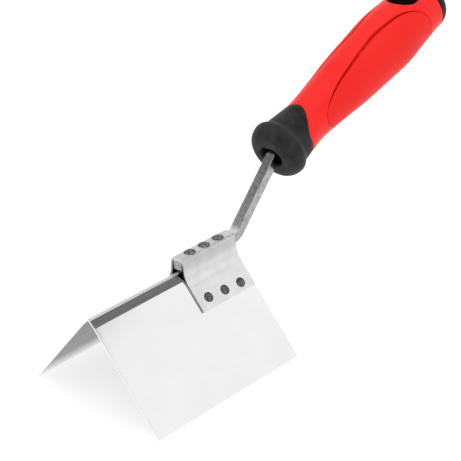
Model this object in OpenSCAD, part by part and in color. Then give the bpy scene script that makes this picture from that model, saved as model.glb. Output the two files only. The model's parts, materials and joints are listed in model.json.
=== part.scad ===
// Corner trowel: a folded blade under a riveted saddle, a cranked square bar, and a moulded grip.
// X runs along the blade's ridge towards the handle, Y across, and Z up.
// The origin is on the inside of the ridge, halfway along the blade.

/* [Blade] */
// Length of the blade along its ridge
blade_length = 88.9; // [70:0.1:120]
// Width of each flap, from the ridge to its free edge
flap_width = 60.3; // [50:0.1:80]
// Thickness of the blade's sheet
blade_sheet = 0.8; // [0.6:0.1:1]
// Angle between the two flaps
flap_angle = 82.5; // [80:0.5:88]
// Width of the square crest, on each side of the ridge
crest_width = 5.5; // [5:0.1:6]
// Inside radius of the bend along the ridge
ridge_radius = 1; // [0.8:0.1:1.2]

/* [Saddle bracket] */
// Length of the bracket
saddle_length = 34.1; // [30:0.1:36]
// Distance from the blade's rear edge to the bracket's
saddle_inset = 0.5; // [0.5:0.1:1.5]
// Thickness of the bracket's sheet
saddle_sheet = 0.9; // [0.8:0.05:1]
// Height of the bracket's top above the inside of the ridge
saddle_height = 7.75; // [7.6:0.05:8.3]
// Half the width of the bracket across its top, where the top and side planes would meet
saddle_half_top = 3.55; // [3.5:0.05:4]
// How far each side wall leans outwards from upright
saddle_lean = 6; // [4:0.5:8]
// How far down the flap each leg reaches, from the ridge
leg_reach = 21.8; // [20:0.1:26]
// Radius of the bend between a side wall and its leg
leg_bend = 12; // [6:0.5:12]

/* [Shank] */
// Width of the square bar, side to side
bar_width = 4.9; // [4.2:0.1:4.9]
// Height of the bar
bar_height = 5; // [4.6:0.1:5]
// Distance from the blade's rear edge to the first bend
bend_setback = 2.8; // [2.8:0.1:5]
// Angle of the rising length above the ridge
rise_angle = 47.3; // [46:0.1:50]
// Length of the rising part, from corner to corner
rise_length = 43; // [38:0.5:50]
// Length of the tang inside the handle
tang_length = 86; // [60:1:90]
// Inside radius of both bends
bar_bend = 4.5; // [2:0.5:4.5]

/* [Rivets] */
// Distance from the bracket's front end to the first side rivet
side_inset = 6.7; // [6:0.1:8]
// Distance between the side rivets
side_pitch = 10.1; // [9:0.1:10.5]
// How far down the flap each side rivet sits, from the ridge, front to rear
side_drops = [16.7, 17.3, 17.8];
// Diameter of a side rivet's domed head
side_head = 4.8; // [4:0.1:5.5]
// Height of a side rivet's domed head
side_dome = 1.1; // [0.8:0.1:1.4]
// Diameter of a side rivet's shank
side_shank = 3; // [2.5:0.1:3.2]
// Distance from the bracket's front end to the first top rivet
top_inset = 8.2; // [7:0.1:9]
// Distance between the top rivets
top_pitch = 9.1; // [8.5:0.1:10]
// Diameter of a top rivet's flattened head
top_head = 5.8; // [5:0.1:6]
// Thickness of a top rivet's flattened head
top_thickness = 0.3; // [0.25:0.05:0.5]
// Diameter of a top rivet's shank
top_shank = 2.5; // [2:0.1:2.6]

/* [Handle] */
// Angle of the handle above the ridge
handle_pitch = 20.8; // [18:0.1:24]
// Length of the handle from its front face to its butt
handle_length = 129; // [128:0.5:134]
// Radius of the collar's flat front face
face_radius = 9.2; // [9:0.1:10]
// Largest radius of the collar
bulb_radius = 14.8; // [14:0.1:15.5]
// Distance from the front face to the widest part of the collar
bulb_middle = 7; // [6:0.5:7.5]
// Distance from the front face to the neck behind the bulb
neck_place = 11.8; // [11:0.1:12.5]
// Distance from the front face to the side of the collar's rear edge
collar_length = 17; // [16:0.5:18]
// How much further back the collar reaches, along the handle's top
tongue_length = 9.1; // [6:0.1:11]
// Thickness of the grip sleeve over the core
sleeve_wall = 3.4; // [3:0.1:3.6]
// Distance from the front face to the joint with the butt cap
cap_joint = 120.3; // [120:0.1:121]
// Width of the socket's mouth
socket_width = 12.6; // [11:0.1:13.5]
// Height of the socket's mouth
socket_height = 9.2; // [9.2:0.1:10]
// Depth of the socket's mouth
socket_depth = 13; // [12:0.5:16]

/* [Hang hole] */
// Distance from the front face to the hole's axis
hole_place = 110.2; // [109.5:0.1:110.4]
// Radius of the hole through the core
hole_radius = 7; // [5:0.1:7.2]
// Length of the boss around the hole
boss_length = 21; // [18:0.5:21]
// Radius of the opening in the grip sleeve
hole_rim = 8; // [7.6:0.1:8]

/* [Side panels] */
// Distance from the front face to a panel's front end
panel_start = 30.7; // [28:0.1:34]
// Distance from the front face to a panel's rear end
panel_end = 110.3; // [100:0.1:111]
// Half the height that a panel would have at its front and rear ends, before rounding
panel_heights = [10, 17];
// Thickness of a side panel
panel_thickness = 2; // [1.5:0.1:2.2]
// Width of the groove around a panel
panel_groove = 0.35; // [0.2:0.05:0.5]

/* [Hidden] */
$fn = 64;
bend_steps = 8;
curve_step = 2.5;
panel_points = 48;
panel_squareness = 2.6;
butt_squareness = 2.5;
tongue_spread = 0.97;
clear = 1;
far = 40;
black_plastic = [0.12, 0.12, 0.13];

// Radius of the grip at distances from the front face, before the butt's dome
grip_stations = [
    [9.8, 13.0], [12, 12.8], [18.5, 12.0], [28, 11.3], [46, 12.8], [58, 14.1],
    [76, 15.2], [91, 15.9], [106, 14.8], [117, 14.1], [120.3, 14.05]
];

// The ridge: the crest's outside planes would meet here, above the rounded bend
crest_lean = 45;
ridge_top = (ridge_radius + blade_sheet) / sin(crest_lean) - ridge_radius;
flap_lean = flap_angle / 2;

function down(lean) = [sin(lean), -cos(lean)];
function outwards(lean) = [cos(lean), sin(lean)];
ridge = [0, ridge_top];
crease = ridge + crest_width * down(crest_lean);
function on_flap(reach, out = 0) =
    crease + (reach - norm(crease - [0, blade_sheet])) * down(flap_lean) + out * outwards(flap_lean);
flap_edge = on_flap(flap_width);

// The saddle: each wall runs down to the plane of its leg's outside face
function saddle_foot(top, out) =
    let (start = on_flap(0, out), lean = saddle_lean)
    top + down(lean) * ((start - top) * outwards(flap_lean)) / (down(lean) * outwards(flap_lean));
saddle_rear = blade_length / 2 - saddle_inset;
saddle_front = saddle_rear - saddle_length;
top_bend = 0.2;

// The bar hangs under the bracket's top, and bends behind the blade
bar_level = saddle_height - saddle_sheet - bar_height / 2;
function ahead(angle) = [cos(angle), sin(angle)];
first_bend = [blade_length / 2 + bend_setback, bar_level];
second_bend = first_bend + rise_length * ahead(rise_angle);
tang_end = second_bend + tang_length * ahead(handle_pitch);
bar_path = [[saddle_front, bar_level], first_bend, second_bend, tang_end];
bend_depth = 3;
handle_face = second_bend - bend_depth * ahead(handle_pitch);
core_front = 7;
cap_spigot = [10.2, 5.2];
boss_wall = 2;

rivet_names = ["front", "middle", "rear"];
function side_x(i) = saddle_front + side_inset + i * side_pitch;
function top_x(i) = saddle_front + top_inset + i * top_pitch;

// Bent sheets

function unit(v) = v / norm(v);
function reversed(list) = [for (i = [len(list) - 1:-1:0]) list[i]];
function mirrored(list) = [for (p = list) [-p[0], p[1]]];

// An open path moved sideways by d, with its corners kept sharp
function shifted(path, d) = [
    for (i = [0:len(path) - 1])
        let (
            before = unit(i == 0 ? path[1] - path[0] : path[i] - path[i - 1]),
            after = unit(i == len(path) - 1 ? path[i] - path[i - 1] : path[i + 1] - path[i]),
            sum = before + after
        )
        path[i] + d * [-sum[1], sum[0]] / (1 + before * after)
];

// Points that round the corner b between a and c
function corner_arc(a, b, c, r) =
    let (
        u = unit(a - b),
        v = unit(c - b),
        half = acos(u * v) / 2,
        centre = b + unit(u + v) * r / sin(half),
        start = b + u * r / tan(half) - centre,
        end = b + v * r / tan(half) - centre,
        turn = sign(cross(start, end)) * (180 - 2 * half)
    )
    [
        for (k = [0:bend_steps])
            let (angle = turn * k / bend_steps)
            centre + [
                start[0] * cos(angle) - start[1] * sin(angle),
                start[0] * sin(angle) + start[1] * cos(angle)
            ]
    ];

function rounded(path, radii) = [
    path[0],
    for (i = [1:len(path) - 2]) each corner_arc(path[i - 1], path[i], path[i + 1], radii[i - 1]),
    path[len(path) - 1]
];

// Is corner i bulging on the path's outer side?
function bulges(path, i) = cross(path[i] - path[i - 1], path[i + 1] - path[i]) < 0;

// Outer face of a bent sheet, where radii are the inside radii of its bends
function outer_face(path, radii, sheet, out = 0) =
    let (moved = shifted(path, out))
    rounded(moved, [
        for (i = [1:len(path) - 2]) radii[i - 1] + (bulges(path, i) ? sheet + out : -out)
    ]);

function inner_face(path, radii, sheet) =
    rounded(shifted(path, -sheet), [
        for (i = [1:len(path) - 2]) radii[i - 1] + (bulges(path, i) ? 0 : sheet)
    ]);

function sheet_outline(path, radii, sheet) =
    concat(outer_face(path, radii, sheet), reversed(inner_face(path, radii, sheet)));

blade_path = concat(reversed(mirrored([crease, flap_edge])), [ridge, crease, flap_edge]);
crease_radius = 6;
blade_radii = [crease_radius, ridge_radius, crease_radius];

saddle_corner = [saddle_half_top, saddle_height];
saddle_half = [
    saddle_corner,
    saddle_foot(saddle_corner, saddle_sheet),
    on_flap(leg_reach, saddle_sheet)
];
saddle_path = concat(reversed(mirrored(saddle_half)), saddle_half);
saddle_radii = [leg_bend, top_bend, top_bend, leg_bend];

// Lays a profile drawn across the tool along X, from x0 to x1
module across(x0, x1) {
    translate([x0, 0, 0])
        rotate([90, 0, 90])
            linear_extrude(x1 - x0)
                children();
}

// Puts the shape, drawn with +Z out of the flap, at the place of side rivet i
module on_side(side, i) {
    place = on_flap(side_drops[i], saddle_sheet);
    translate([side_x(i), side * place[0], place[1]])
        rotate([side * (flap_lean - 90), 0, 0])
            children();
}

module side_rivet(side, i) {
    dome_radius = (pow(side_head / 2, 2) + pow(side_dome, 2)) / (2 * side_dome);
    grip = saddle_sheet + blade_sheet;
    color("slategray")
        on_side(side, i) {
            intersection() {
                translate([0, 0, side_dome - dome_radius]) sphere(dome_radius);
                cylinder(h = side_dome + clear, r = side_head);
            }
            translate([0, 0, -grip]) cylinder(h = grip, d = side_shank);
        }
}

module side_rivet_holes() {
    depth = saddle_sheet + blade_sheet + clear;
    for (side = [-1, 1], i = [0:2])
        on_side(side, i)
            translate([0, 0, -depth]) cylinder(h = depth + clear, d = side_shank);
}

module top_rivet(i) {
    foot = bar_level - bar_height / 2;
    color("dimgray") {
        difference() {
            intersection() {
                translate([top_x(i), 0, bar_level]) cylinder(h = far, d = top_head);
                across(saddle_front, saddle_rear)
                    polygon(outer_face(saddle_path, saddle_radii, saddle_sheet, top_thickness));
            }
            across(saddle_front - clear, saddle_rear + clear)
                polygon(outer_face(saddle_path, saddle_radii, saddle_sheet));
        }
        translate([top_x(i), 0, foot]) cylinder(h = saddle_height - foot, d = top_shank);
    }
}

module top_rivet_holes() {
    for (i = [0:2])
        translate([top_x(i), 0, 0]) cylinder(h = far, d = top_shank);
}

module blade() {
    color("gainsboro")
        difference() {
            across(-blade_length / 2, blade_length / 2)
                polygon(sheet_outline(blade_path, blade_radii, blade_sheet));
            side_rivet_holes();
        }
}

module saddle_bracket() {
    color("silver")
        difference() {
            across(saddle_front, saddle_rear)
                polygon(sheet_outline(saddle_path, saddle_radii, saddle_sheet));
            side_rivet_holes();
            top_rivet_holes();
        }
}

// Square bar, drawn from the side and as thick as the bar is wide
module shank_shape() {
    rotate([90, 0, 0])
        linear_extrude(bar_width, center = true)
            polygon(sheet_outline(
                shifted(bar_path, bar_height / 2), [bar_bend, bar_bend], bar_height
            ));
}

module shank_bar() {
    color("darkgray")
        difference() {
            shank_shape();
            top_rivet_holes();
        }
}

// Handle, drawn with +Z along its axis from the front face, and +X downwards

module on_handle() {
    translate([handle_face[0], 0, handle_face[1]])
        rotate([0, 90 - handle_pitch, 0])
            children();
}

function station_slope(i) =
    let (a = grip_stations[max(i - 1, 0)], b = grip_stations[min(i + 1, len(grip_stations) - 1)])
    (b[1] - a[1]) / (b[0] - a[0]);

// Smooth curve through the stations
function grip_radius(z) =
    let (
        i = max([0, for (j = [0:len(grip_stations) - 2]) if (z >= grip_stations[j][0]) j]),
        a = grip_stations[i],
        b = grip_stations[i + 1],
        span = b[0] - a[0],
        t = (z - a[0]) / span
    )
    a[1] * (1 + 2 * t) * pow(1 - t, 2) + b[1] * t * t * (3 - 2 * t)
        + span * (station_slope(i) * t * pow(1 - t, 2) - station_slope(i + 1) * t * t * (1 - t));

// Points [radius, z] along the grip, set in by `inset`
function grip_curve(z0, z1, inset = 0) =
    let (steps = ceil((z1 - z0) / curve_step))
    [
        for (k = [0:steps])
            let (z = z0 + (z1 - z0) * k / steps)
            [grip_radius(z) - inset, z]
    ];

// The collar's nose is a quarter ellipse, and its shoulder runs down to the neck in an S
nose_curve = [
    for (a = [0:90 / bend_steps:90])
        [face_radius + (bulb_radius - face_radius) * sin(a), bulb_middle * (1 - cos(a))]
];
shoulder_curve = [
    for (k = [1:bend_steps])
        let (share = k / bend_steps, neck = grip_radius(neck_place))
        [
            neck + (bulb_radius - neck) * (1 + cos(180 * share)) / 2,
            bulb_middle + (neck_place - bulb_middle) * share
        ]
];

module turned(points) {
    rotate_extrude() polygon(concat([[0, points[0][1]]], points, [[0, points[len(points) - 1][1]]]));
}

// The space in front of the collar's rear edge, with its tongue along the top
module collar_zone() {
    half = tongue_spread * grip_radius(collar_length);
    cylinder(h = collar_length, r = far);
    rotate([0, -90, 0])
        linear_extrude(far)
            polygon([
                for (k = [-bend_steps:bend_steps])
                    let (y = k / bend_steps)
                    [collar_length + tongue_length * (1 - y * y), half * y]
            ]);
}

module stadium(width, height) {
    square([height, width - height], center = true);
    for (y = [-1, 1])
        translate([0, y * (width - height) / 2]) circle(d = height);
}

module socket() {
    translate([0, 0, -clear])
        linear_extrude(socket_depth + clear)
            stadium(socket_width, socket_height);
}

module hang_cylinder(radius, length) {
    translate([0, 0, hole_place])
        rotate([0, 90, 0])
            cylinder(h = length, r = radius, center = true);
}

module core_body() {
    spigot_end = cap_joint + cap_spigot[1];
    inner = grip_radius(neck_place + clear) - sleeve_wall - clear;
    turned(concat(
        [[inner, core_front]],
        grip_curve(collar_length + clear, cap_joint, sleeve_wall),
        [[cap_spigot[0], cap_joint], [cap_spigot[0], spigot_end]]
    ));
}

module hang_boss() {
    hang_cylinder(hole_radius + boss_wall, boss_length);
}

module front_collar() {
    color(black_plastic)
        on_handle()
            difference() {
                intersection() {
                    turned(concat(
                        nose_curve,
                        shoulder_curve,
                        grip_curve(neck_place + clear, collar_length + tongue_length + clear)
                    ));
                    collar_zone();
                }
                core_body();
                socket();
            }
}

module handle_core() {
    color("dimgray")
        difference() {
            on_handle()
                difference() {
                    union() {
                        core_body();
                        hang_boss();
                    }
                    socket();
                    hang_cylinder(hole_radius, far);
                }
            shank_shape();
        }
}

module butt_cap() {
    color(black_plastic)
        on_handle()
            difference() {
                turned(butt_curve);
                core_body();
            }
}

butt_curve = [
    for (k = [0:bend_steps])
        let (angle = 90 * k / bend_steps)
        [
            grip_radius(cap_joint) * pow(cos(angle), 2 / butt_squareness),
            cap_joint + (handle_length - cap_joint) * pow(sin(angle), 2 / butt_squareness)
        ]
];

// Outline of a side panel: an egg shape, wider towards the butt, set in by `inset`
function panel_outline(inset = 0) =
    let (middle = (panel_start + panel_end) / 2, reach = (panel_end - panel_start) / 2)
    [
        for (k = [0:panel_points - 1])
            let (
                angle = 360 * k / panel_points,
                u = sign(cos(angle)) * pow(abs(cos(angle)), 2 / panel_squareness),
                v = sign(sin(angle)) * pow(abs(sin(angle)), 2 / panel_squareness),
                height = panel_heights[0] + (panel_heights[1] - panel_heights[0]) * (u + 1) / 2
            )
            [v * (height - inset), middle + u * (reach - inset)]
    ];

module panel_prism(side, inset = 0) {
    intersection() {
        rotate([90, 0, 0])
            translate([0, 0, side > 0 ? -far : 0])
                linear_extrude(far)
                    polygon(panel_outline(inset));
        translate([-far, side > 0 ? clear : -far, 0]) cube([2 * far, far - clear, handle_length]);
    }
}

module grip_form(inset) {
    turned(grip_curve(collar_length - clear, cap_joint, inset));
}

module grip_panel(side) {
    color([0.85, 0.1, 0.1])
        on_handle()
            difference() {
                intersection() {
                    grip_form(0);
                    panel_prism(side, panel_groove);
                }
                grip_form(panel_thickness);
            }
}

module left_grip_panel() {
    grip_panel(1);
}

module right_grip_panel() {
    grip_panel(-1);
}

module grip_sleeve() {
    color([0.93, 0.16, 0.16])
        on_handle()
            difference() {
                grip_form(0);
                collar_zone();
                core_body();
                hang_boss();
                hang_cylinder(hole_rim, far);
                for (side = [-1, 1])
                    difference() {
                        panel_prism(side);
                        grip_form(panel_thickness);
                    }
            }
}

blade();
saddle_bracket();
shank_bar();
front_collar();
handle_core();
grip_sleeve();
left_grip_panel();
right_grip_panel();
butt_cap();
for (i = [0:2]) top_rivet(i);
for (i = [0:2]) side_rivet(1, i);
for (i = [0:2]) side_rivet(-1, i);
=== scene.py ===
"""Looks of the corner trowel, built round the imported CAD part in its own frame.

Shapes are worked out in millimetres and written to the meshes in metres. The handle is drawn in a frame of
its own: X up from the grip's axis, Y towards the tool's right, and Z along the axis from the front face.
"""
import json
import math

import bpy
import numpy as np
from mathutils import Matrix, Quaternion, Vector
from mathutils.geometry import delaunay_2d_cdt
from mathutils.kdtree import KDTree


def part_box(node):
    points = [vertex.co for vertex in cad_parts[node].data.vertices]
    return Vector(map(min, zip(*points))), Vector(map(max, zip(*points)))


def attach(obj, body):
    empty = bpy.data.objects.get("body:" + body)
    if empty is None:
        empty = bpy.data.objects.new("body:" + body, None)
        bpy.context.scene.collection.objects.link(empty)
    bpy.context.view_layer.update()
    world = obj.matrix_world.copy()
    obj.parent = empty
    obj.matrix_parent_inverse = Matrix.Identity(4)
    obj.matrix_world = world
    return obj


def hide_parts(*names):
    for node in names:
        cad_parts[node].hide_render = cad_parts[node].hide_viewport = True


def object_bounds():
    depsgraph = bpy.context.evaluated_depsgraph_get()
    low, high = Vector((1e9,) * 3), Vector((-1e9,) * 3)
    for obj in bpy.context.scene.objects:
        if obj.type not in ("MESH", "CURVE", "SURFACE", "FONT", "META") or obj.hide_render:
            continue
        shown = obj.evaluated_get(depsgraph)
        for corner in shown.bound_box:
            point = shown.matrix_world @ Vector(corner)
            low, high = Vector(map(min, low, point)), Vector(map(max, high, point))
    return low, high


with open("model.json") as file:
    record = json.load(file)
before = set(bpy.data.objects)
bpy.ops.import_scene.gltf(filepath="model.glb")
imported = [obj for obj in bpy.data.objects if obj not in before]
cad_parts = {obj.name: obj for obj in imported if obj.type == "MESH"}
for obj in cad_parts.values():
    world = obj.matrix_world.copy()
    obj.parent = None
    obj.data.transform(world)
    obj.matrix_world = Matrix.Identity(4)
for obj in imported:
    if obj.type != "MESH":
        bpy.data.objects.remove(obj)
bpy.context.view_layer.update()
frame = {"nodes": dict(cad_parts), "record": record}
MM = 0.001
MOUNTS = {m["name"]: m for m in frame["record"]["mounts"]}

# Sheet metal. Leans are from straight down, and reaches and drops go down a flap from the ridge.
BLADE_SHEET = 0.8
SADDLE_SHEET = 0.9
FLAP_LEAN = math.radians(41.25)
CREST_LEAN = math.radians(45)
CREST_WIDTH = 5.5
RIDGE_RADIUS = 1.0
CREASE_RADIUS = 6.0
SADDLE_TOP = Vector((3.55, 7.75))
SADDLE_LEAN = math.radians(6)
SADDLE_TOP_RADIUS = 1.6
LEG_BEND = 12.0
LEG_REACH = 21.8
BLADE_EDGE = 0.14
SADDLE_EDGE = 0.15
FLAP_WIDTH = 60.3
SHEET_PITCH = 2.5

# Square bar
BAR_WIDTH = 4.9
BAR_HEIGHT = 5.0
BAR_LEVEL = SADDLE_TOP[1] - SADDLE_SHEET - BAR_HEIGHT / 2
BAR_EDGE = 0.3
BAR_END = 0.35
BAR_BEND = 4.5
BEND_SETBACK = 2.8
RISE_ANGLE = math.radians(47.3)
RISE_LENGTH = 43.0
TANG_LENGTH = 86.0
BEND_DEPTH = 3.0

# Rivets, with the sizes across their heads, the undersides of these, their shanks and their tails
RIVET_NAMES = ("front", "middle", "rear")
SIDE_DROPS = (16.7, 17.3, 17.8)
SIDE_HEAD = 4.8
SIDE_DOME = 1.1
SIDE_SPREAD = 0.985
SIDE_RIM = 0.16
SIDE_UNDER = 4.7
SIDE_SHANK = 3.0
SIDE_TAIL = 2.5
TOP_HEAD = 5.8
TOP_THICKNESS = 0.3
TOP_EDGE = 0.55
TOP_UNDER = 5.6
TOP_SUNK = 0.15
TOP_SHANK = 2.5
TOP_TAIL = 2.1
HEAD_SUNK = 0.02
PROUD = 0.06

# Handle, with places along its axis from its front face, and stations as (place, radius)
FACE_RADIUS = 9.2
BULB_RADIUS = 14.8
BULB_MIDDLE = 7.0
NECK_PLACE = 11.8
COLLAR_LENGTH = 17.0
COLLAR_STEP = 1.0
TONGUE_LENGTH = 9.1
TONGUE_SPREAD = 0.97
CORE_FRONT = 7.0
SLEEVE_WALL = 3.3
CAP_JOINT = 120.3
HANDLE_LENGTH = 129.0
BUTT_SQUARENESS = 2.5
SPIGOT = (10.3, 5.3)
CAP_GAP = 0.02
SOCKET = (12.6, 9.2)
SOCKET_LIP = 1.1
HOLE_RIM = 8.0
BOSS_LEVEL = 10.55
PANEL_START = 30.7
PANEL_END = 110.3
PANEL_HEIGHTS = (10.0, 17.0)
PANEL_SQUARENESS = 2.6
PANEL_GROOVE = 0.14
POCKET_DEPTH = 2.05
PANEL_DEPTH = 1.9
JOINT_LIP = 0.4
HOLE_LIP = 1.1
PANEL_LIP = 0.5
GRIP_STATIONS = (
    (9.8, 13.0), (12, 12.8), (18.5, 12.0), (28, 11.3), (46, 12.8), (58, 14.1),
    (76, 15.2), (91, 15.9), (106, 14.8), (117, 14.1), (120.3, 14.05),
)

# Fineness of the meshes
SIDES = 144
RIVET_SIDES = 48
BUTT_STEPS = 24
TOP_STEPS = 6
ARC_STEPS = 10
LIP_STEPS = 5
FILL_SPACING = 1.5
FILL_CLEARANCE = 0.9
PANEL_POINTS = 160
HOLE_POINTS = 72

# Studio, in metres, with the tent as (elevation in degrees, light)
CAMERA_PLACE = Vector((-0.41079, -0.45402, 0.34032))
CAMERA_HEADING = math.radians(44.9)
CAMERA_PITCH = math.radians(-27.33)
CAMERA_ROLL = math.radians(-2.71)
CAMERA_LENS = 122.13
SENSOR_WIDTH = 36.0
FLOOR_GLOW = 0.74
FLOOR_REACH = 6.0
TENT = ((0, 1.0), (36.5, 1.0), (37.4, 0.17), (44.5, 0.17), (48, 0.8), (90, 0.8))


# ---------------------------------------------------------------- mesh helpers

def make_piece(name, points, faces, material, nodes, matrix=None):
    """A smooth closed mesh from points in millimetres, standing for the CAD nodes named."""
    mesh = bpy.data.meshes.new(name)
    if matrix is not None:
        points = [matrix @ Vector(p) for p in points]
    mesh.from_pydata([Vector(p) * MM for p in points], [], faces)
    mesh.validate()
    mesh.polygons.foreach_set("use_smooth", [True] * len(mesh.polygons))
    mesh.materials.append(material)
    piece = bpy.data.objects.new(name, mesh)
    bpy.context.scene.collection.objects.link(piece)
    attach(piece, "root")
    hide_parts(*nodes)
    return piece


def weigh_normals(piece):
    """Broad faces keep their own shading, and the small rounded edges take up the turn."""
    modifier = piece.modifiers.new("normals", "WEIGHTED_NORMAL")
    modifier.weight = 60
    modifier.keep_sharp = False


def thicken(piece, sheet, edge):
    """Gives a single surface its sheet's thickness, inwards, and breaks its edges.

    The piece's materials are its outer face's, its inner face's and its cut edges'.
    """
    solid = piece.modifiers.new("sheet", "SOLIDIFY")
    solid.thickness = sheet * MM
    solid.offset = -1
    solid.use_even_offset = True
    solid.material_offset = 1
    solid.material_offset_rim = 2
    bevel = piece.modifiers.new("edges", "BEVEL")
    bevel.width = edge * MM
    bevel.segments = 3
    bevel.limit_method = "ANGLE"
    bevel.angle_limit = math.radians(50)
    bevel.material = 0
    weigh_normals(piece)


def loft(rings, closed=False):
    """Quads between rings of points, each ring a closed loop of the same length."""
    count = len(rings[0])
    faces = []
    pairs = len(rings) if closed else len(rings) - 1
    for i in range(pairs):
        a, b = i * count, (i + 1) % len(rings) * count
        for j in range(count):
            k = (j + 1) % count
            faces.append((a + j, a + k, b + k, b + j))
    return [p for ring in rings for p in ring], faces


def turned(profile, sides=SIDES):
    """A solid of revolution about Z, from (radius, z) points that start and end on the axis."""
    rings = [
        [(r * math.cos(a), r * math.sin(a), z) for a in turn_angles(sides)]
        for r, z in profile[1:-1]
    ]
    points, faces = loft(rings)
    for end, first, flip in ((profile[0], 0, True), (profile[-1], len(points) - sides, False)):
        points.append((0, 0, end[1]))
        for j in range(sides):
            fan = (first + j, first + (j + 1) % sides, len(points) - 1)
            faces.append(fan[::-1] if flip else fan)
    return points, faces


def turn_angles(count):
    return [2 * math.pi * j / count for j in range(count)]


# ---------------------------------------------------------------- bent sheets

def down(lean):
    """Direction down a sheet that leans out by that angle, as (across, up)."""
    return Vector((math.sin(lean), -math.cos(lean)))


def outwards(lean):
    """Direction square out of that sheet."""
    return Vector((math.cos(lean), math.sin(lean)))


def turn(vector, angle):
    c, s = math.cos(angle), math.sin(angle)
    return Vector((vector[0] * c - vector[1] * s, vector[0] * s + vector[1] * c))


def rounded(path, radii):
    """The path with each of its inner corners turned into an arc."""
    points = [path[0]]
    for a, b, c, radius in zip(path, path[1:], path[2:], radii):
        u, v = (a - b).normalized(), (c - b).normalized()
        half = u.angle(v) / 2
        centre = b + (u + v).normalized() * radius / math.sin(half)
        start = b + u * radius / math.tan(half) - centre
        end = b + v * radius / math.tan(half) - centre
        side = math.copysign(1, start[0] * end[1] - start[1] * end[0])
        angle = side * (math.pi - 2 * half)
        points += [centre + turn(start, angle * k / ARC_STEPS) for k in range(ARC_STEPS + 1)]
    return points + [path[-1]]


RIDGE = Vector((0, (RIDGE_RADIUS + BLADE_SHEET) / math.sin(CREST_LEAN) - RIDGE_RADIUS))
CREASE = RIDGE + CREST_WIDTH * down(CREST_LEAN)


def on_flap(reach, out=0.0):
    """A point on the flap's outer face, that far down from the ridge."""
    along = reach - (CREASE - Vector((0, BLADE_SHEET))).length
    return CREASE + along * down(FLAP_LEAN) + out * outwards(FLAP_LEAN)


def both_sides(half):
    """The mirror image of half a profile, then the half itself."""
    return [Vector((-p[0], p[1])) for p in reversed(half)] + half


def blade_profile():
    edge = on_flap(FLAP_WIDTH)
    path = both_sides([CREASE, edge])
    path.insert(2, RIDGE)
    return rounded(path, [CREASE_RADIUS, RIDGE_RADIUS + BLADE_SHEET, CREASE_RADIUS])


def saddle_path():
    """The bracket's top, walls and legs, before their corners are rounded."""
    wall, start = down(SADDLE_LEAN), on_flap(0, SADDLE_SHEET)
    drop = (start - SADDLE_TOP).dot(outwards(FLAP_LEAN)) / wall.dot(outwards(FLAP_LEAN))
    return both_sides([SADDLE_TOP, SADDLE_TOP + drop * wall, on_flap(LEG_REACH, SADDLE_SHEET)])


def saddle_profile():
    radii = [LEG_BEND, SADDLE_TOP_RADIUS, SADDLE_TOP_RADIUS, LEG_BEND]
    return rounded(saddle_path(), radii)


def bent_sheet(name, profile, node, sheet, edge, materials):
    """A sheet of that profile, as (across, up), along the whole of its CAD node."""
    low, high = (corner[0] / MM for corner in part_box(node))
    rows = math.ceil((high - low) / SHEET_PITCH)
    count = len(profile)
    points = [
        (low + (high - low) * i / rows, p[0], p[1]) for i in range(rows + 1) for p in profile
    ]
    faces = [
        (i * count + j, (i + 1) * count + j, (i + 1) * count + j + 1, i * count + j + 1)
        for i in range(rows) for j in range(count - 1)
    ]
    piece = make_piece(name, points, faces, materials[0], [node])
    for material in materials[1:]:
        piece.data.materials.append(material)
    thicken(piece, sheet, edge)
    return piece


# ---------------------------------------------------------------- square bar

def bar_corners():
    """The two corners of the bar's centre line in side view, as (x, z)."""
    first = Vector((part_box("blade")[1][0] / MM + BEND_SETBACK, BAR_LEVEL))
    return first, first + RISE_LENGTH * Vector((math.cos(RISE_ANGLE), math.sin(RISE_ANGLE)))


def bar_line():
    """The bar's centre line in side view, as (x, z), with its bends."""
    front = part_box("saddle_bracket")[0][0] / MM
    first, second = bar_corners()
    end = second + TANG_LENGTH * handle_direction()
    radius = BAR_BEND + BAR_HEIGHT / 2
    return rounded([Vector((front, BAR_LEVEL)), first, second, end], [radius, radius])


def square_section(inset):
    """The bar's section as (across, up), with rounded edges, drawn in by `inset`."""
    across, up = BAR_WIDTH / 2 - BAR_EDGE, BAR_HEIGHT / 2 - BAR_EDGE
    reach = BAR_EDGE - inset
    points = []
    for quarter, (y, z) in enumerate(((1, 1), (-1, 1), (-1, -1), (1, -1))):
        for k in range(LIP_STEPS + 1):
            angle = math.pi / 2 * (quarter + k / LIP_STEPS)
            points.append((across * y + reach * math.cos(angle), up * z + reach * math.sin(angle)))
    return points


def square_bar(material):
    """The bar swept along its line, with the edges of its front end broken."""
    line = bar_line()
    tangents = [
        (line[min(i + 1, len(line) - 1)] - line[max(i - 1, 0)]).normalized()
        for i in range(len(line))
    ]
    insets = [BAR_EDGE * (1 - math.sin(math.radians(step))) for step in (0, 30, 60)]
    rings = [(line[0] + tangents[0] * (BAR_EDGE - inset), tangents[0], inset) for inset in insets]
    line[0] = line[0] + tangents[0] * BAR_END
    rings += [(place, ahead, 0) for place, ahead in zip(line, tangents)]
    loops = []
    for place, ahead, inset in rings:
        up = Vector((-ahead[1], ahead[0]))
        loops.append([
            (place[0] + h * up[0], w, place[1] + h * up[1]) for w, h in square_section(inset)
        ])
    points, faces = loft(loops)
    faces = [face[::-1] for face in faces]
    count = len(loops[0])
    faces.append(tuple(range(count)))
    faces.append(tuple(len(points) - 1 - j for j in range(count)))
    piece = make_piece("square_bar", points, faces, material, ["shank_bar"])
    weigh_normals(piece)
    return piece


# ---------------------------------------------------------------- rivets

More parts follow.
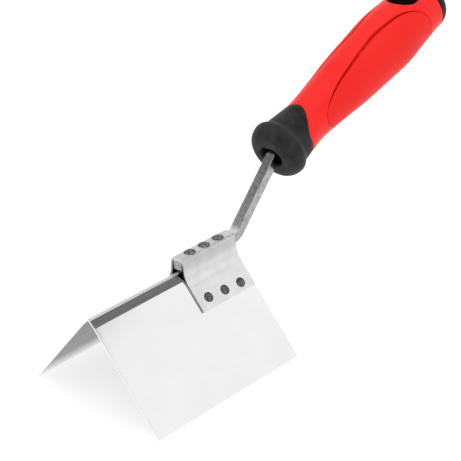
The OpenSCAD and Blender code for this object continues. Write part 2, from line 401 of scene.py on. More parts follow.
def side_rivet(label, side, drop, material):
    """A domed head on the bracket's leg, with its shank's end just proud inside the blade."""
    low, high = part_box(label)
    place = on_flap(drop, SADDLE_SHEET)
    grip = SADDLE_SHEET + BLADE_SHEET
    sphere = ((SIDE_HEAD / 2) ** 2 + SIDE_DOME ** 2) / (2 * SIDE_DOME)
    reach = math.asin(SIDE_HEAD / 2 / sphere)
    profile = [(0, -grip - PROUD), (SIDE_TAIL / 2, -grip - PROUD), (SIDE_SHANK / 2, -grip),
               (SIDE_SHANK / 2, -HEAD_SUNK), (SIDE_UNDER / 2, -HEAD_SUNK),
               (SIDE_HEAD / 2, SIDE_RIM / 2)]
    for k in range(ARC_STEPS + 1):
        angle = reach * (1 - k / ARC_STEPS)
        height = SIDE_DOME - sphere * (1 - math.cos(angle))
        profile.append((sphere * math.sin(angle) * SIDE_SPREAD,
                        SIDE_RIM + height * (1 - SIDE_RIM / SIDE_DOME)))
    points, faces = turned(profile, RIVET_SIDES)
    normal = Vector((0, side * math.cos(FLAP_LEAN), math.sin(FLAP_LEAN)))
    matrix = Matrix.Translation(((low[0] + high[0]) / 2 / MM, side * place[0], place[1]))
    matrix = matrix @ normal.to_track_quat("Z", "X").to_matrix().to_4x4()
    piece = make_piece(label + "_head", points, faces, material, [label], matrix)
    weigh_normals(piece)
    return piece


def profile_height(profile, y):
    """Height of a sheet's outer face at that place across it."""
    for a, b in zip(profile, profile[1:]):
        if a[0] <= y <= b[0] and b[0] - a[0] > 1e-6:
            return a[1] + (b[1] - a[1]) * (y - a[0]) / (b[0] - a[0])
    return profile[-1][1]


def top_rivet(label, profile, material):
    """A head flattened over the bracket's top, with its shank down through the bar."""
    low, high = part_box(label)
    middle = (low[0] + high[0]) / 2 / MM
    foot = BAR_LEVEL - BAR_HEIGHT / 2
    angles = turn_angles(RIVET_SIDES)
    head = [((TOP_HEAD / 2 - TOP_EDGE) * k / TOP_STEPS, TOP_THICKNESS) for k in range(1, TOP_STEPS + 1)]
    for k in range(1, LIP_STEPS + 1):
        step = math.pi / 2 * k / LIP_STEPS
        head.append((TOP_HEAD / 2 - TOP_EDGE * (1 - math.sin(step)), TOP_THICKNESS * math.cos(step)))
    head += [(TOP_UNDER / 2, -TOP_SUNK), (TOP_SHANK / 2, -TOP_SUNK)]
    rings = [[drape(profile, middle, radius, a, lift) for a in angles] for radius, lift in head]
    for radius, height in ((TOP_SHANK / 2, foot), (TOP_TAIL / 2, foot - PROUD)):
        rings.append([(middle + radius * math.cos(a), radius * math.sin(a), height) for a in angles])
    points, faces = loft(rings)
    faces = [face[::-1] for face in faces]
    points += [(middle, 0, profile_height(profile, 0) + TOP_THICKNESS), (middle, 0, foot - PROUD)]
    last = (len(rings) - 1) * RIVET_SIDES
    for j in range(RIVET_SIDES):
        k = (j + 1) % RIVET_SIDES
        faces += [(len(points) - 2, k, j), (len(points) - 1, last + j, last + k)]
    piece = make_piece(label + "_head", points, faces, material, [label])
    weigh_normals(piece)
    return piece


def drape(profile, middle, radius, angle, lift):
    """A point of a top rivet's head, that far above the sheet."""
    y = radius * math.sin(angle)
    return (middle + radius * math.cos(angle), y, profile_height(profile, y) + lift)


# ---------------------------------------------------------------- handle shapes

def handle_pitch():
    axis = MOUNTS["hang_hole"]["axis"]
    return math.atan2(-axis[0], axis[2])


def handle_direction():
    """The grip's axis in side view, as (x, z), towards the butt."""
    return Vector((math.cos(handle_pitch()), math.sin(handle_pitch())))


def hole_place():
    """Distance from the handle's front face to the hang hole's axis."""
    return (Vector(MOUNTS["hang_hole"]["pos_m"]) / MM - front_face()).length


def front_face():
    """The middle of the handle's front face, which the bar's second corner lies behind."""
    face = bar_corners()[1] - BEND_DEPTH * handle_direction()
    return Vector((face[0], 0, face[1]))


def handle_matrix():
    """From the handle's own frame to the tool's."""
    pitch = handle_pitch()
    ahead = Vector((math.cos(pitch), 0, math.sin(pitch)))
    up = Vector((-math.sin(pitch), 0, math.cos(pitch)))
    axes = Matrix((up, Vector((0, -1, 0)), ahead)).transposed().to_4x4()
    return Matrix.Translation(front_face()) @ axes


def station_slope(i):
    a, b = GRIP_STATIONS[max(i - 1, 0)], GRIP_STATIONS[min(i + 1, len(GRIP_STATIONS) - 1)]
    return (b[1] - a[1]) / (b[0] - a[0])


def grip_radius(z):
    """Smooth curve through the stations, as in the CAD part."""
    i = max([0] + [j for j in range(len(GRIP_STATIONS) - 1) if z >= GRIP_STATIONS[j][0]])
    a, b = GRIP_STATIONS[i], GRIP_STATIONS[i + 1]
    span = b[0] - a[0]
    t = (z - a[0]) / span
    ends = a[1] * (1 + 2 * t) * (1 - t) ** 2 + b[1] * t * t * (3 - 2 * t)
    slopes = station_slope(i) * t * (1 - t) ** 2 - station_slope(i + 1) * t * t * (1 - t)
    return ends + span * slopes


def collar_edge(angle):
    """Where the collar ends, at that angle from the top: further back along the top, as a tongue."""
    if math.cos(angle) <= 0:
        return COLLAR_LENGTH
    half = TONGUE_SPREAD * grip_radius(COLLAR_LENGTH)
    z = COLLAR_LENGTH
    for _ in range(6):
        share = (grip_radius(z) * math.sin(angle) / half) ** 2
        z = COLLAR_LENGTH + TONGUE_LENGTH * max(0.0, 1 - share)
    return z


def around(radius, angle, z):
    """A point in the handle's frame, at that angle from the top."""
    return (radius * math.cos(angle), radius * math.sin(angle), z)


def stadium_radius(angle):
    """Distance from the socket's middle to its rim."""
    half = SOCKET[1] / 2
    shift = (SOCKET[0] - SOCKET[1]) / 2
    c, s = abs(math.cos(angle)), abs(math.sin(angle))
    if c > 1e-6 and half / c * s <= shift:
        return half / c
    return shift * s + math.sqrt(half ** 2 - (shift * c) ** 2)


def front_collar(material):
    """Bulb with a socket in its face, a crease behind it, and a skirt that ends in a tongue."""
    rings = []

    def ring(shape):
        rings.append([shape(a) for a in turn_angles(SIDES)])

    ring(lambda a: around(stadium_radius(a), a, CORE_FRONT))
    for k in range(LIP_STEPS + 1):
        step = math.pi / 2 * k / LIP_STEPS
        out, z = SOCKET_LIP * (1 - math.cos(step)), SOCKET_LIP * (1 - math.sin(step))
        ring(lambda a, out=out, z=z: around(stadium_radius(a) + out, a, z))
    for k in range(ARC_STEPS * 2 + 1):
        step = math.pi / 2 * k / (ARC_STEPS * 2)
        radius = FACE_RADIUS + (BULB_RADIUS - FACE_RADIUS) * math.sin(step)
        ring(lambda a, r=radius, z=BULB_MIDDLE * (1 - math.cos(step)): around(r, a, z))
    neck = grip_radius(NECK_PLACE)
    for k in range(1, ARC_STEPS * 2 + 1):
        share = k / (ARC_STEPS * 2)
        radius = neck + (BULB_RADIUS - neck) * (1 + math.cos(math.pi * share)) / 2
        ring(lambda a, r=radius, z=BULB_MIDDLE + (NECK_PLACE - BULB_MIDDLE) * share: around(r, a, z))
    first = NECK_PLACE + COLLAR_STEP
    for k in range(ARC_STEPS + 1):
        def skirt(a, share=k / ARC_STEPS):
            z = first + (collar_edge(a) - JOINT_LIP - first) * share
            return around(grip_radius(z), a, z)
        ring(skirt)
    for k in range(1, LIP_STEPS + 1):
        step = math.pi / 2 * k / LIP_STEPS

        def lip(a, ahead=JOINT_LIP * (1 - math.sin(step)), drop=JOINT_LIP * (1 - math.cos(step))):
            z = collar_edge(a) - ahead
            return around(grip_radius(z) - drop, a, z)
        ring(lip)
    ring(lambda a: around(grip_radius(collar_edge(a)) - SLEEVE_WALL, a, collar_edge(a)))
    bore = grip_radius(first) - SLEEVE_WALL - COLLAR_STEP
    ring(lambda a: around(bore, a, first))
    ring(lambda a: around(bore, a, CORE_FRONT))
    points, faces = loft(rings, closed=True)
    faces = [face[::-1] for face in faces]
    piece = make_piece("collar", points, faces, material, ["front_collar"],
                       handle_matrix())
    weigh_normals(piece)
    return piece


def butt_cap(material):
    """Rounded cap, hollowed for the core's spigot."""
    rim = grip_radius(CAP_JOINT)
    profile = [(0, CAP_JOINT + SPIGOT[1]), (SPIGOT[0], CAP_JOINT + SPIGOT[1]),
               (SPIGOT[0], CAP_JOINT + CAP_GAP), (rim - JOINT_LIP, CAP_JOINT + CAP_GAP)]
    for k in range(1, LIP_STEPS):
        step = math.pi / 2 * k / LIP_STEPS
        profile.append((rim - JOINT_LIP * (1 - math.sin(step)),
                        CAP_JOINT + JOINT_LIP * (1 - math.cos(step))))
    power = 2 / BUTT_SQUARENESS
    for k in range(2, BUTT_STEPS + 1):
        angle = math.pi / 2 * k / BUTT_STEPS
        profile.append((rim * max(math.cos(angle), 0) ** power,
                        CAP_JOINT + (HANDLE_LENGTH - CAP_JOINT) * math.sin(angle) ** power))
    points, faces = turned(profile)
    piece = make_piece("butt_dome", points, faces, material, ["butt_cap"],
                       handle_matrix())
    weigh_normals(piece)
    return piece


# ---------------------------------------------------------------- grip shells
# The grip's outer face is laid out flat as (across, z), where across is the angle up from the side times
# FLAT_SCALE. It is cut into triangles there, and wrapped back round the grip.

FLAT_SCALE = 14.0


def flat(angle, z):
    return (angle * FLAT_SCALE, z)


def wrapped(point, side):
    """Surface point and normal, in the handle's frame, of a flat point on that side."""
    angle, z = point[0] / FLAT_SCALE, point[1]
    radius = grip_radius(z)
    slope = (grip_radius(z + 0.1) - grip_radius(z - 0.1)) / 0.2
    out = Vector((math.sin(angle), side * math.cos(angle), -slope)).normalized()
    return Vector((radius * math.sin(angle), side * radius * math.cos(angle), z)), out


def panel_loop(inset):
    """Outline of a side panel, set in by `inset`, laid out flat."""
    middle, reach = (PANEL_START + PANEL_END) / 2, (PANEL_END - PANEL_START) / 2
    power = 2 / PANEL_SQUARENESS
    points = []
    for angle in turn_angles(PANEL_POINTS):
        c, s = math.cos(angle), math.sin(angle)
        u = math.copysign(abs(c) ** power, c)
        v = math.copysign(abs(s) ** power, s)
        height = PANEL_HEIGHTS[0] + (PANEL_HEIGHTS[1] - PANEL_HEIGHTS[0]) * (u + 1) / 2
        z = middle + u * (reach - inset)
        points.append(flat(math.asin(v * (height - inset) / grip_radius(z)), z))
    return points


def evenly(a, b, spacing):
    """Points strictly between a and b."""
    count = max(1, round(abs(b - a) / spacing))
    return [a + (b - a) * k / count for k in range(1, count)]


def hole_edge(turn_angle, radius, up):
    """A point of the hang hole's edge, laid out flat on the tool's right side."""
    z = hole_place() + radius * math.cos(turn_angle)
    return flat(up * math.acos(radius * math.sin(turn_angle) / grip_radius(z)), z)


def sleeve_outline():
    """Edge of one side of the sleeve, laid out flat, with half of the hole at its top and bottom."""
    half = SIDES // 2
    top = math.pi / 2
    radius = HOLE_RIM + HOLE_LIP
    turns = [math.pi * k / (HOLE_POINTS // 2) for k in range(HOLE_POINTS // 2 + 1)]
    angles = [math.pi - math.pi * k / half for k in range(half + 1)]
    front = [flat(top - a, collar_edge(a) + JOINT_LIP) for a in angles]
    rear = [flat(top - a, CAP_JOINT - JOINT_LIP) for a in reversed(angles)]
    before, after = hole_place() - radius, hole_place() + radius
    points = front + [flat(top, z) for z in evenly(front[-1][1], before, FILL_SPACING)]
    points += [hole_edge(a, radius, 1) for a in reversed(turns)]
    points += [flat(top, z) for z in evenly(after, rear[0][1], FILL_SPACING)]
    points += rear + [flat(-top, z) for z in evenly(rear[0][1], after, FILL_SPACING)]
    points += [hole_edge(a, radius, -1) for a in turns]
    points += [flat(-top, z) for z in evenly(before, front[0][1], FILL_SPACING)]
    return points


def inside(points, loop):
    """Which of the points lie inside the closed loop."""
    p, a = np.array(points, float), np.array(loop, float)
    b = np.roll(a, -1, axis=0)
    crossing = (a[:, 1] > p[:, None, 1]) != (b[:, 1] > p[:, None, 1])
    rise = np.where(b[:, 1] == a[:, 1], 1e-12, b[:, 1] - a[:, 1])
    meets = a[:, 0] + (p[:, None, 1] - a[:, 1]) * (b[:, 0] - a[:, 0]) / rise
    return (crossing & (p[:, None, 0] < meets)).sum(axis=1) % 2 == 1


def fill(loops):
    """Points and triangles over the first loop's inside, with every loop's edges kept."""
    points = [Vector(p) for loop in loops for p in loop]
    tree = KDTree(len(points))
    for i, p in enumerate(points):
        tree.insert((p[0], p[1], 0), i)
    tree.balance()
    edges, start = [], 0
    for loop in loops:
        edges += [(start + i, start + (i + 1) % len(loop)) for i in range(len(loop))]
        start += len(loop)
    low = [min(p[i] for p in points) for i in (0, 1)]
    high = [max(p[i] for p in points) for i in (0, 1)]
    row = FILL_SPACING * math.sqrt(3) / 2
    grid = [
        (low[0] + FILL_SPACING * (i + (j % 2) / 2), low[1] + row * j)
        for j in range(int((high[1] - low[1]) / row) + 1)
        for i in range(int((high[0] - low[0]) / FILL_SPACING) + 1)
    ]
    kept = inside(grid, loops[0])
    points += [
        Vector(p) for p, ok in zip(grid, kept)
        if ok and tree.find((p[0], p[1], 0))[2] > FILL_CLEARANCE
    ]
    points, _, faces, _, _, _ = delaunay_2d_cdt(points, edges, [], 0, 1e-6)
    kept = inside(centres(points, faces), loops[0])
    return points, [face for face, ok in zip(faces, kept) if ok]


def centres(points, triangles):
    return [sum((points[i] for i in face), Vector((0, 0))) / 3 for face in triangles]


class Shell:
    """Points and faces of one mesh, where points at the same place are one point."""

    def __init__(self):
        self.points, self.faces, self.found = [], [], {}

    def key(self, point):
        return tuple(round(c, 3) + 0.0 for c in point)

    def known(self, point):
        """The number of the point at that place, or None."""
        return self.found.get(self.key(point))

    def at(self, point):
        """The number of the point at that place, which is added if it isn't there."""
        if self.known(point) is None:
            self.found[self.key(point)] = len(self.points)
            self.points.append(tuple(point))
        return self.known(point)

    def face(self, corners, out):
        """A face turned to look along `out`."""
        a, b, c = (Vector(p) for p in corners[:3])
        if (b - a).cross(c - a).dot(out) < 0:
            corners = corners[::-1]
        face = [self.at(p) for p in corners]
        if len(set(face)) == len(face):
            self.faces.append(face)

    def skirt(self, loop, away, wall, lip, depth):
        """Rolls a closed loop's edge over and down a wall. Gives each point's place at the wall's foot.

        The loop is (point, normal) pairs. away(point) leads off the material, and wall(point, normal)
        down into it.
        """
        count = len(loop)
        columns = []
        for i, (point, normal) in enumerate(loop):
            along = (loop[(i + 1) % count][0] - loop[i - 1][0]).normalized()
            lead = away(point)
            lead = lead - lead.dot(normal) * normal
            lead = (lead - lead.dot(along) * along).normalized()
            into = wall(point, normal)
            corner = point + lead * lip
            foot = corner + into * lip
            column = []
            for k in range(LIP_STEPS + 1):
                t = k / LIP_STEPS
                column.append(point * (1 - t) ** 2 + corner * 2 * t * (1 - t) + foot * t * t)
            column.append(corner + into * depth)
            columns.append((column, normal + lead))
        for i in range(count):
            (here, out), (there, _) = columns[i], columns[(i + 1) % count]
            for k in range(len(here) - 1):
                self.face([here[k], here[k + 1], there[k + 1], there[k]], out)
        return {self.at(point): columns[i][0][-1] for i, (point, _) in enumerate(loop)}


def level(point, normal, depth):
    return point - normal * depth


def sunk_in(_, normal):
    return -normal


def towards_axis(point, _):
    return Vector((-point[0], -point[1], 0)).normalized()


def panel_middle(side):
    z = (PANEL_START + PANEL_END) / 2
    return Vector((0, side * grip_radius(z), z))


def grip_sleeve(material):
    """Red sleeve: a shell with a rolled hang hole, a sunk pocket on each side, and rolled ends."""
    shell = Shell()
    outline, pocket = sleeve_outline(), panel_loop(-PANEL_LIP)
    points, faces = fill([outline, pocket])
    in_pocket = inside(centres(points, faces), pocket)
    angles = turn_angles(SIDES)
    feet = {}

    def ring(place, away, lip=JOINT_LIP):
        loop = [wrapped(flat(math.pi / 2 - a, place(a)), 1) for a in angles]
        feet.update(shell.skirt(loop, away, towards_axis, lip, SLEEVE_WALL))

    ring(lambda a: collar_edge(a if a <= math.pi else 2 * math.pi - a) + JOINT_LIP,
         lambda p: Vector((0, 0, -1)))
    ring(lambda a: CAP_JOINT - JOINT_LIP, lambda p: Vector((0, 0, 1)))
    for up in (1, -1):
        loop = []
        for a in turn_angles(HOLE_POINTS):
            side = 1 if a <= math.pi else -1
            a = a if a <= math.pi else 2 * math.pi - a
            loop.append(wrapped(hole_edge(a, HOLE_RIM + HOLE_LIP, up), side))
        axis = Vector((up, 0, 0))
        middle = Vector((0, 0, hole_place()))
        depth = grip_radius(hole_place()) - BOSS_LEVEL
        feet.update(shell.skirt(
            loop, lambda p, m=middle, n=axis: (m - p) - (m - p).dot(n) * n,
            lambda p, normal, n=axis: -n, HOLE_LIP, depth))
    for side in (1, -1):
        loop = [wrapped(p, side) for p in pocket]
        floor = shell.skirt(loop, lambda p, m=panel_middle(side): m - p, sunk_in,
                            PANEL_LIP, POCKET_DEPTH)
        for face, sunk in zip(faces, in_pocket):
            wraps = [wrapped(points[i], side) for i in face]
            out = wraps[0][1]
            if sunk:
                lows = [level(p, n, SLEEVE_WALL) for p, n in wraps]
                tops = [floor.get(shell.known(p), level(p, n, POCKET_DEPTH)) for p, n in wraps]
            else:
                lows = [feet.get(shell.at(p), level(p, n, SLEEVE_WALL)) for p, n in wraps]
                tops = [p for p, _ in wraps]
            shell.face(lows, -out)
            shell.face(tops, out)
    piece = make_piece("sleeve", shell.points, shell.faces, material, ["grip_sleeve"],
                       handle_matrix())
    weigh_normals(piece)
    return piece


def grip_panel(label, side, material):
    """Soft panel in the sleeve's pocket, with a rolled edge."""
    shell = Shell()
    outline = panel_loop(PANEL_GROOVE + PANEL_LIP)
    points, faces = fill([outline])
    loop = [wrapped(p, side) for p in outline]
    feet = shell.skirt(loop, lambda p, m=panel_middle(side): p - m, sunk_in, PANEL_LIP, PANEL_DEPTH)
    for face in faces:
        wraps = [wrapped(points[i], side) for i in face]
        out = wraps[0][1]
        shell.face([p for p, _ in wraps], out)
        shell.face([feet.get(shell.at(p), level(p, n, PANEL_DEPTH)) for p, n in wraps], -out)
    piece = make_piece(label + "_skin", shell.points, shell.faces, material, [label],
                       handle_matrix())
    weigh_normals(piece)
    return piece


# ---------------------------------------------------------------- materials

class Surface:
    """A node material built up on one Principled shader, from patterns laid out in metres."""

    def __init__(self, name, roughness, metallic=0.0):
        self.material = bpy.data.materials.new(name)
        self.material.use_nodes = True
        self.tree = self.material.node_tree
        self.shader = self.tree.nodes["Principled BSDF"]
        self.shader.inputs["Roughness"].default_value = roughness
        self.shader.inputs["Metallic"].default_value = metallic
        self.place = self.add("ShaderNodeTexCoord").outputs["Object"]

    def add(self, kind, **values):
        node = self.tree.nodes.new(kind)
        for name, value in values.items():
            setattr(node, name, value)
        return node

    def noise(self, scale, detail=3.0, stretch=(1, 1, 1)):
        """Noise with `scale` cells per metre, drawn out along an axis where stretch is small."""
        mapping = self.add("ShaderNodeMapping")
        mapping.inputs["Scale"].default_value = stretch
        self.tree.links.new(self.place, mapping.inputs["Vector"])
        node = self.add("ShaderNodeTexNoise")
        node.inputs["Scale"].default_value = scale
        node.inputs["Detail"].default_value = detail
        self.tree.links.new(mapping.outputs["Vector"], node.inputs["Vector"])
        return node.outputs["Fac"]

    def ramp(self, value, low, high, start=0.3, end=0.7):
        """Colour or number that runs from low to high as the value goes from start to end."""
        node = self.add("ShaderNodeMapRange")
        self.tree.links.new(value, node.inputs["Value"])
        node.inputs["From Min"].default_value = start
        node.inputs["From Max"].default_value = end
        if not isinstance(low, tuple):
            node.inputs["To Min"].default_value = low
            node.inputs["To Max"].default_value = high
            return node.outputs["Result"]
        mix = self.add("ShaderNodeMix", data_type="RGBA")
        self.tree.links.new(node.outputs["Result"], mix.inputs["Factor"])
        mix.inputs["A"].default_value = (*low, 1)
        mix.inputs["B"].default_value = (*high, 1)
        return mix.outputs["Result"]

    def mix(self, factor, a, b):
        """Pattern a where the factor is nothing, and b where it is one."""
        node = self.add("ShaderNodeMix", data_type="RGBA")
        self.tree.links.new(factor, node.inputs["Factor"])
        self.tree.links.new(a, node.inputs["A"])
        self.tree.links.new(b, node.inputs["B"])
        return node.outputs["Result"]

    def part(self, axis):
        """One coordinate of the place on the object, in metres."""
        parts = self.add("ShaderNodeSeparateXYZ")
        self.tree.links.new(self.place, parts.inputs["Vector"])
        return parts.outputs[axis]

    def facing_up(self):
        """One where the surface faces up, nothing where it is upright."""
        face = self.add("ShaderNodeNewGeometry")
        parts = self.add("ShaderNodeSeparateXYZ")
        self.tree.links.new(face.outputs["Normal"], parts.inputs["Vector"])
        return self.ramp(parts.outputs["Z"], 0.0, 1.0, 0.3, 0.6)

    def near_ridge(self, start, end):
        """One on the ridge, falling to nothing between those distances across, in millimetres."""
        size = self.add("ShaderNodeMath", operation="ABSOLUTE")
        self.tree.links.new(self.part("Y"), size.inputs[0])
        return self.ramp(size.outputs["Value"], 1.0, 0.0, start * MM, end * MM)

    def below(self, start, end):
        """Nothing above the height `start`, rising to one at `end` below it, in millimetres."""
        return self.ramp(self.part("Z"), 1.0, 0.0, end * MM, start * MM)

    def shine(self, amount):
        self.shader.inputs["Specular IOR Level"].default_value = amount

    def colour(self, value):
        self.tree.links.new(value, self.shader.inputs["Base Color"])

    def roughness(self, value):
        self.tree.links.new(value, self.shader.inputs["Roughness"])

    def bump(self, value, depth, strength):
        """Adds relief, on top of any that is there."""
        node = self.add("ShaderNodeBump")
        node.inputs["Strength"].default_value = strength
        node.inputs["Distance"].default_value = depth
        self.tree.links.new(value, node.inputs["Height"])
        earlier = self.shader.inputs["Normal"].links
        if earlier:
            self.tree.links.new(earlier[0].from_socket, node.inputs["Normal"])
        self.tree.links.new(node.outputs["Normal"], self.shader.inputs["Normal"])


def grey(tone):
    """A grey with a trace of blue, as bare steel has."""
    return (tone, tone, tone * 1.01)


def steel(name, roughness, strength):
    """Bare metal with fine lines along X, still to be coloured. Gives the lines' pattern too."""
    surface = Surface(name, roughness, 1.0)
    lines = surface.noise(5200, 2.0, (0.02, 1, 1))
    surface.bump(lines, 0.00002, strength)
    return surface, lines


def blade_steel():
    """Polished outer face, streaked along the crest's two strips and rubbed bright on the ridge."""
    surface, lines = steel("blade_brushed_steel", 0.08, 0.02)
    plain = surface.ramp(surface.noise(60, 3.0), grey(0.86), grey(0.90))
    streaked = surface.ramp(surface.noise(2600, 3.0, (0.012, 1, 1)), grey(0.72), grey(1.0))
    strips = surface.mix(surface.near_ridge(3.6, 4.0), plain, streaked)
    worn = surface.near_ridge(0.8, 1.3)
    surface.colour(surface.mix(worn, strips, plain))
    polished, rubbed_and_highlit = surface.ramp(lines, 0.068, 0.096), surface.ramp(lines, 0.4, 0.5)
    surface.roughness(surface.mix(worn, polished, rubbed_and_highlit))
    return surface.material


def blade_inner_steel():
    """Unpolished inner face, with painted shade near the ridge, where the inside of the V lies in shade,
    and bright bare steel towards the flaps' edges.
    """
    surface, lines = steel("blade_inner_steel", 0.24, 0.06)
    mottle = surface.noise(900, 3.0, (0.2, 1, 1))
    # Painted shade: near the ridge the steel is coloured dark, where the inside of the V lies in shade.
    painted_ridge_shade = surface.ramp(mottle, grey(0.07), grey(0.15))
    bright = surface.ramp(mottle, grey(0.82), grey(0.92))
    surface.colour(surface.mix(surface.below(-31, -45), painted_ridge_shade, bright))
    surface.roughness(surface.ramp(lines, 0.204, 0.288))
    return surface.material


def bracket_steel():
    """Satin sheet, worn rough on top, with light painted into its colour by height: a painted highlight on
    top, clouded painted shade down its shoulders and walls, and a painted bright reflection down its legs.
    """
    surface, lines = steel("bracket_satin_steel", 0.20, 0.06)
    clouds = surface.noise(200, 4.0)
    # Painted light by height: lighter on top, darker down the shoulders and walls, lighter down the legs,
    # in place of how light and its reflections fall.
    top = surface.ramp(clouds, grey(0.70), grey(0.80))
    shoulders = surface.ramp(clouds, grey(0.46), grey(0.52))
    walls = surface.ramp(clouds, grey(0.50), grey(0.58))
    legs = surface.ramp(clouds, grey(0.80), grey(0.88))
    colour = surface.mix(surface.below(6.0, 1.0), shoulders, walls)
    colour = surface.mix(surface.below(7.4, 6.0), top, colour)
    surface.colour(surface.mix(surface.below(3.0, -6.0), colour, legs))
    worn, satin = surface.ramp(lines, 0.42, 0.55), surface.ramp(lines, 0.17, 0.24)
    surface.roughness(surface.mix(surface.below(6.4, 5.4), worn, satin))
    return surface.material


def cut_edge_steel():
    """Sheared edge of the bracket's sheet: dark with painted shade down its walls and legs, and lighter
    towards the top.
    """
    surface = Surface("cut_edge_steel", 0.5, 0.8)
    scale = surface.noise(1500, 3.0)
    rubbed_and_highlit = surface.ramp(scale, grey(0.6), grey(0.8))
    # Painted shade: below the top the cut edge is coloured dark, where it stands in shade.
    dark = surface.ramp(scale, grey(0.05), grey(0.13))
    surface.colour(surface.mix(surface.below(6.2, 5.0), rubbed_and_highlit, dark))
    surface.bump(scale, 0.00003, 0.3)
    return surface.material


def bar_steel():
    """Dull drawn bar: small pits and scuffs over fine lines, with a painted highlight on the upward faces
    of its first bend.
    """
    surface, _ = steel("bar_steel", 0.17, 0.12)
    pits = surface.noise(1100, 4.0, (0.45, 1, 0.6))
    bend = surface.below(9.5, 7.5)
    drawn = surface.ramp(pits, grey(0.28), grey(0.47))
    # Painted highlight: where the first bend faces up it is coloured nearly white, in place of the light
    # it reflects there.
    rubbed_and_highlit = surface.mix(surface.facing_up(), drawn, surface.ramp(pits, grey(0.85), grey(1.0)))
    surface.colour(surface.mix(bend, drawn, rubbed_and_highlit))
    smooth, scuffed = surface.ramp(pits, 0.14, 0.2), surface.ramp(pits, 0.35, 0.5)
    surface.roughness(surface.mix(bend, smooth, scuffed))
    surface.bump(pits, 0.00003, 0.25)
    return surface.material


def rivet_steel(name, light):
    """Dark, dull, hammered head, mottled with lighter metal."""
    surface = Surface(name, 0.5, 0.35)
    mottle = surface.noise(900, 4.0)
    surface.colour(surface.ramp(mottle, grey(0.035), grey(light), 0.38, 0.66))
    surface.roughness(surface.ramp(mottle, 0.55, 0.36))
    surface.shine(0.3)
    surface.bump(mottle, 0.00008, 0.5)
    return surface.material


def moulded(name, dark, light, roughness, shine, grain, depth, strength, patches=45):
    """Moulded plastic or rubber: fine grain in the surface and slight drift in tone.

    The grain and the patches are in cells per metre, and the grain's depth is in metres.
    """
    surface = Surface(name, roughness)
    drift = surface.noise(patches, 3.0)
    fine = surface.noise(grain, 2.0)
    surface.colour(surface.ramp(drift, dark, light))
    surface.roughness(surface.ramp(fine, roughness * 0.9, roughness * 1.12))
    surface.shine(shine)
    surface.bump(fine, depth, strength)
    return surface.material


def floor_paint():
    """Pale floor, lit a little from below so that shadows on it stay light."""
    surface = Surface("pale_floor", 0.85)
    surface.colour(surface.ramp(surface.noise(6, 2.0), grey(0.32), grey(0.35)))
    surface.shader.inputs["Emission Color"].default_value = (1, 1, 1, 1)
    surface.shader.inputs["Emission Strength"].default_value = FLOOR_GLOW
    return surface.material


def finish_core(material):
    """The CAD core keeps its shape: it is only seen in the hang hole and behind the socket."""
    core = frame["nodes"]["handle_core"]
    core.data.materials.clear()
    core.data.materials.append(material)
    core.data.polygons.foreach_set("use_smooth", [True] * len(core.data.polygons))


# ---------------------------------------------------------------- studio

def studio_world():
    """A pale tent, bright all round except for a dim band between its walls and its roof.

    TENT gives its light at each elevation in degrees, and below the horizon it is as at the horizon.
    """
    world = bpy.data.worlds.new("studio")
    bpy.context.scene.world = world
    world.use_nodes = True
    nodes, links = world.node_tree.nodes, world.node_tree.links
    place = nodes.new("ShaderNodeTexCoord")
    parts = nodes.new("ShaderNodeSeparateXYZ")
    ramp = nodes.new("ShaderNodeValToRGB")
    links.new(place.outputs["Generated"], parts.inputs["Vector"])
    links.new(parts.outputs["Z"], ramp.inputs["Fac"])
    stops = ramp.color_ramp.elements
    while len(stops) < len(TENT):
        stops.new(0.5)
    for stop, (elevation, light) in zip(stops, TENT):
        stop.position = math.sin(math.radians(elevation))
        stop.color = (light, light, light, 1)
    links.new(ramp.outputs["Color"], nodes["Background"].inputs["Color"])


def area_light(name, place, aim, size, power):
    """A square lamp, in metres and watts, that doesn't show in reflections."""
    data = bpy.data.lights.new(name, "AREA")
    data.size = size
    data.energy = power
    light = bpy.data.objects.new(name, data)
    light.location = place
    light.rotation_mode = "QUATERNION"
    light.rotation_quaternion = (Vector(aim) - Vector(place)).to_track_quat("-Z", "Y")
    light.visible_glossy = False
    bpy.context.scene.collection.objects.link(light)


def studio_floor():
    """A floor at the height of the flaps' edges."""
    low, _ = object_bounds()
    mesh = bpy.data.meshes.new("floor")
    corners = [(x * FLOOR_REACH, y * FLOOR_REACH, low[2]) for x, y in ((-1, -1), (1, -1), (1, 1), (-1, 1))]
    mesh.from_pydata(corners, [], [(0, 1, 2, 3)])
    mesh.materials.append(floor_paint())
    floor = bpy.data.objects.new("floor", mesh)
    bpy.context.scene.collection.objects.link(floor)


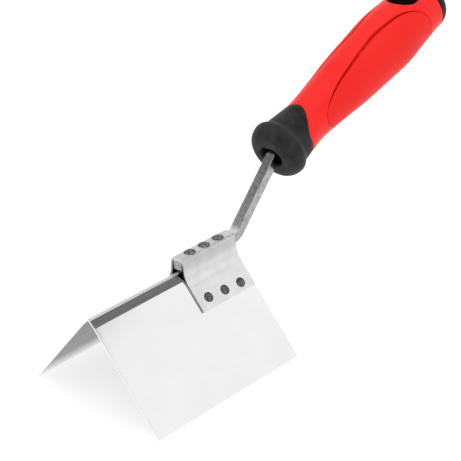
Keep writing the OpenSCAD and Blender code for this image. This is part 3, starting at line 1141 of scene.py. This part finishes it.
def studio_camera():
    data = bpy.data.cameras.new("camera")
    data.lens = CAMERA_LENS
    data.sensor_width = SENSOR_WIDTH
    camera = bpy.data.objects.new("camera", data)
    camera.location = CAMERA_PLACE
    flat_reach = math.cos(CAMERA_PITCH)
    ahead = Vector((flat_reach * math.cos(CAMERA_HEADING), flat_reach * math.sin(CAMERA_HEADING),
                    math.sin(CAMERA_PITCH)))
    camera.rotation_mode = "QUATERNION"
    camera.rotation_quaternion = ahead.to_track_quat("-Z", "Y") @ Quaternion((0, 0, 1), CAMERA_ROLL)
    bpy.context.scene.collection.objects.link(camera)
    bpy.context.scene.camera = camera


# ---------------------------------------------------------------- the tool

def build_tool():
    black = moulded("black_rubber", (0.006, 0.006, 0.006), (0.026, 0.026, 0.026), roughness=0.55,
                    shine=0.2, grain=2600, depth=0.00003, strength=0.3, patches=150)
    plastic = moulded("black_plastic", (0.006, 0.006, 0.006), (0.011, 0.011, 0.011), roughness=0.42,
                      shine=0.12, grain=3200, depth=0.00002, strength=0.2)
    red = moulded("red_plastic", (0.80, 0.013, 0.010), (0.84, 0.018, 0.014), roughness=0.40,
                  shine=0.18, grain=3000, depth=0.00002, strength=0.12)
    soft = moulded("red_rubber", (0.77, 0.013, 0.010), (0.81, 0.018, 0.014), roughness=0.5,
                   shine=0.16, grain=2200, depth=0.00003, strength=0.3)
    top_metal = rivet_steel("top_rivet_dark_steel", 0.28)
    side_metal = rivet_steel("side_rivet_dark_steel", 0.15)
    saddle = saddle_profile()
    outer = blade_steel()
    bent_sheet("blade_sheet", blade_profile(), "blade", BLADE_SHEET, BLADE_EDGE,
               (outer, blade_inner_steel(), outer))
    satin = bracket_steel()
    bent_sheet("bracket_sheet", saddle, "saddle_bracket", SADDLE_SHEET, SADDLE_EDGE,
               (satin, satin, cut_edge_steel()))
    square_bar(bar_steel())
    for name, drop in zip(RIVET_NAMES, SIDE_DROPS):
        top_rivet("top_rivet_" + name, saddle, top_metal)
        side_rivet("left_rivet_" + name, 1, drop, side_metal)
        side_rivet("right_rivet_" + name, -1, drop, side_metal)
    front_collar(black)
    grip_sleeve(red)
    grip_panel("right_grip_panel", 1, soft)
    grip_panel("left_grip_panel", -1, soft)
    butt_cap(plastic)
    finish_core(plastic)


build_tool()
studio_world()
studio_floor()
studio_camera()
area_light("overhead", place=(0.05, -0.1, 1.3), aim=(0.05, 0, 0), size=1.6, power=8)
area_light("front", place=(-0.9, -0.9, 0.9), aim=(0.05, 0, 0.02), size=1.2, power=2.5)
bpy.context.scene.view_settings.view_transform = "Standard"
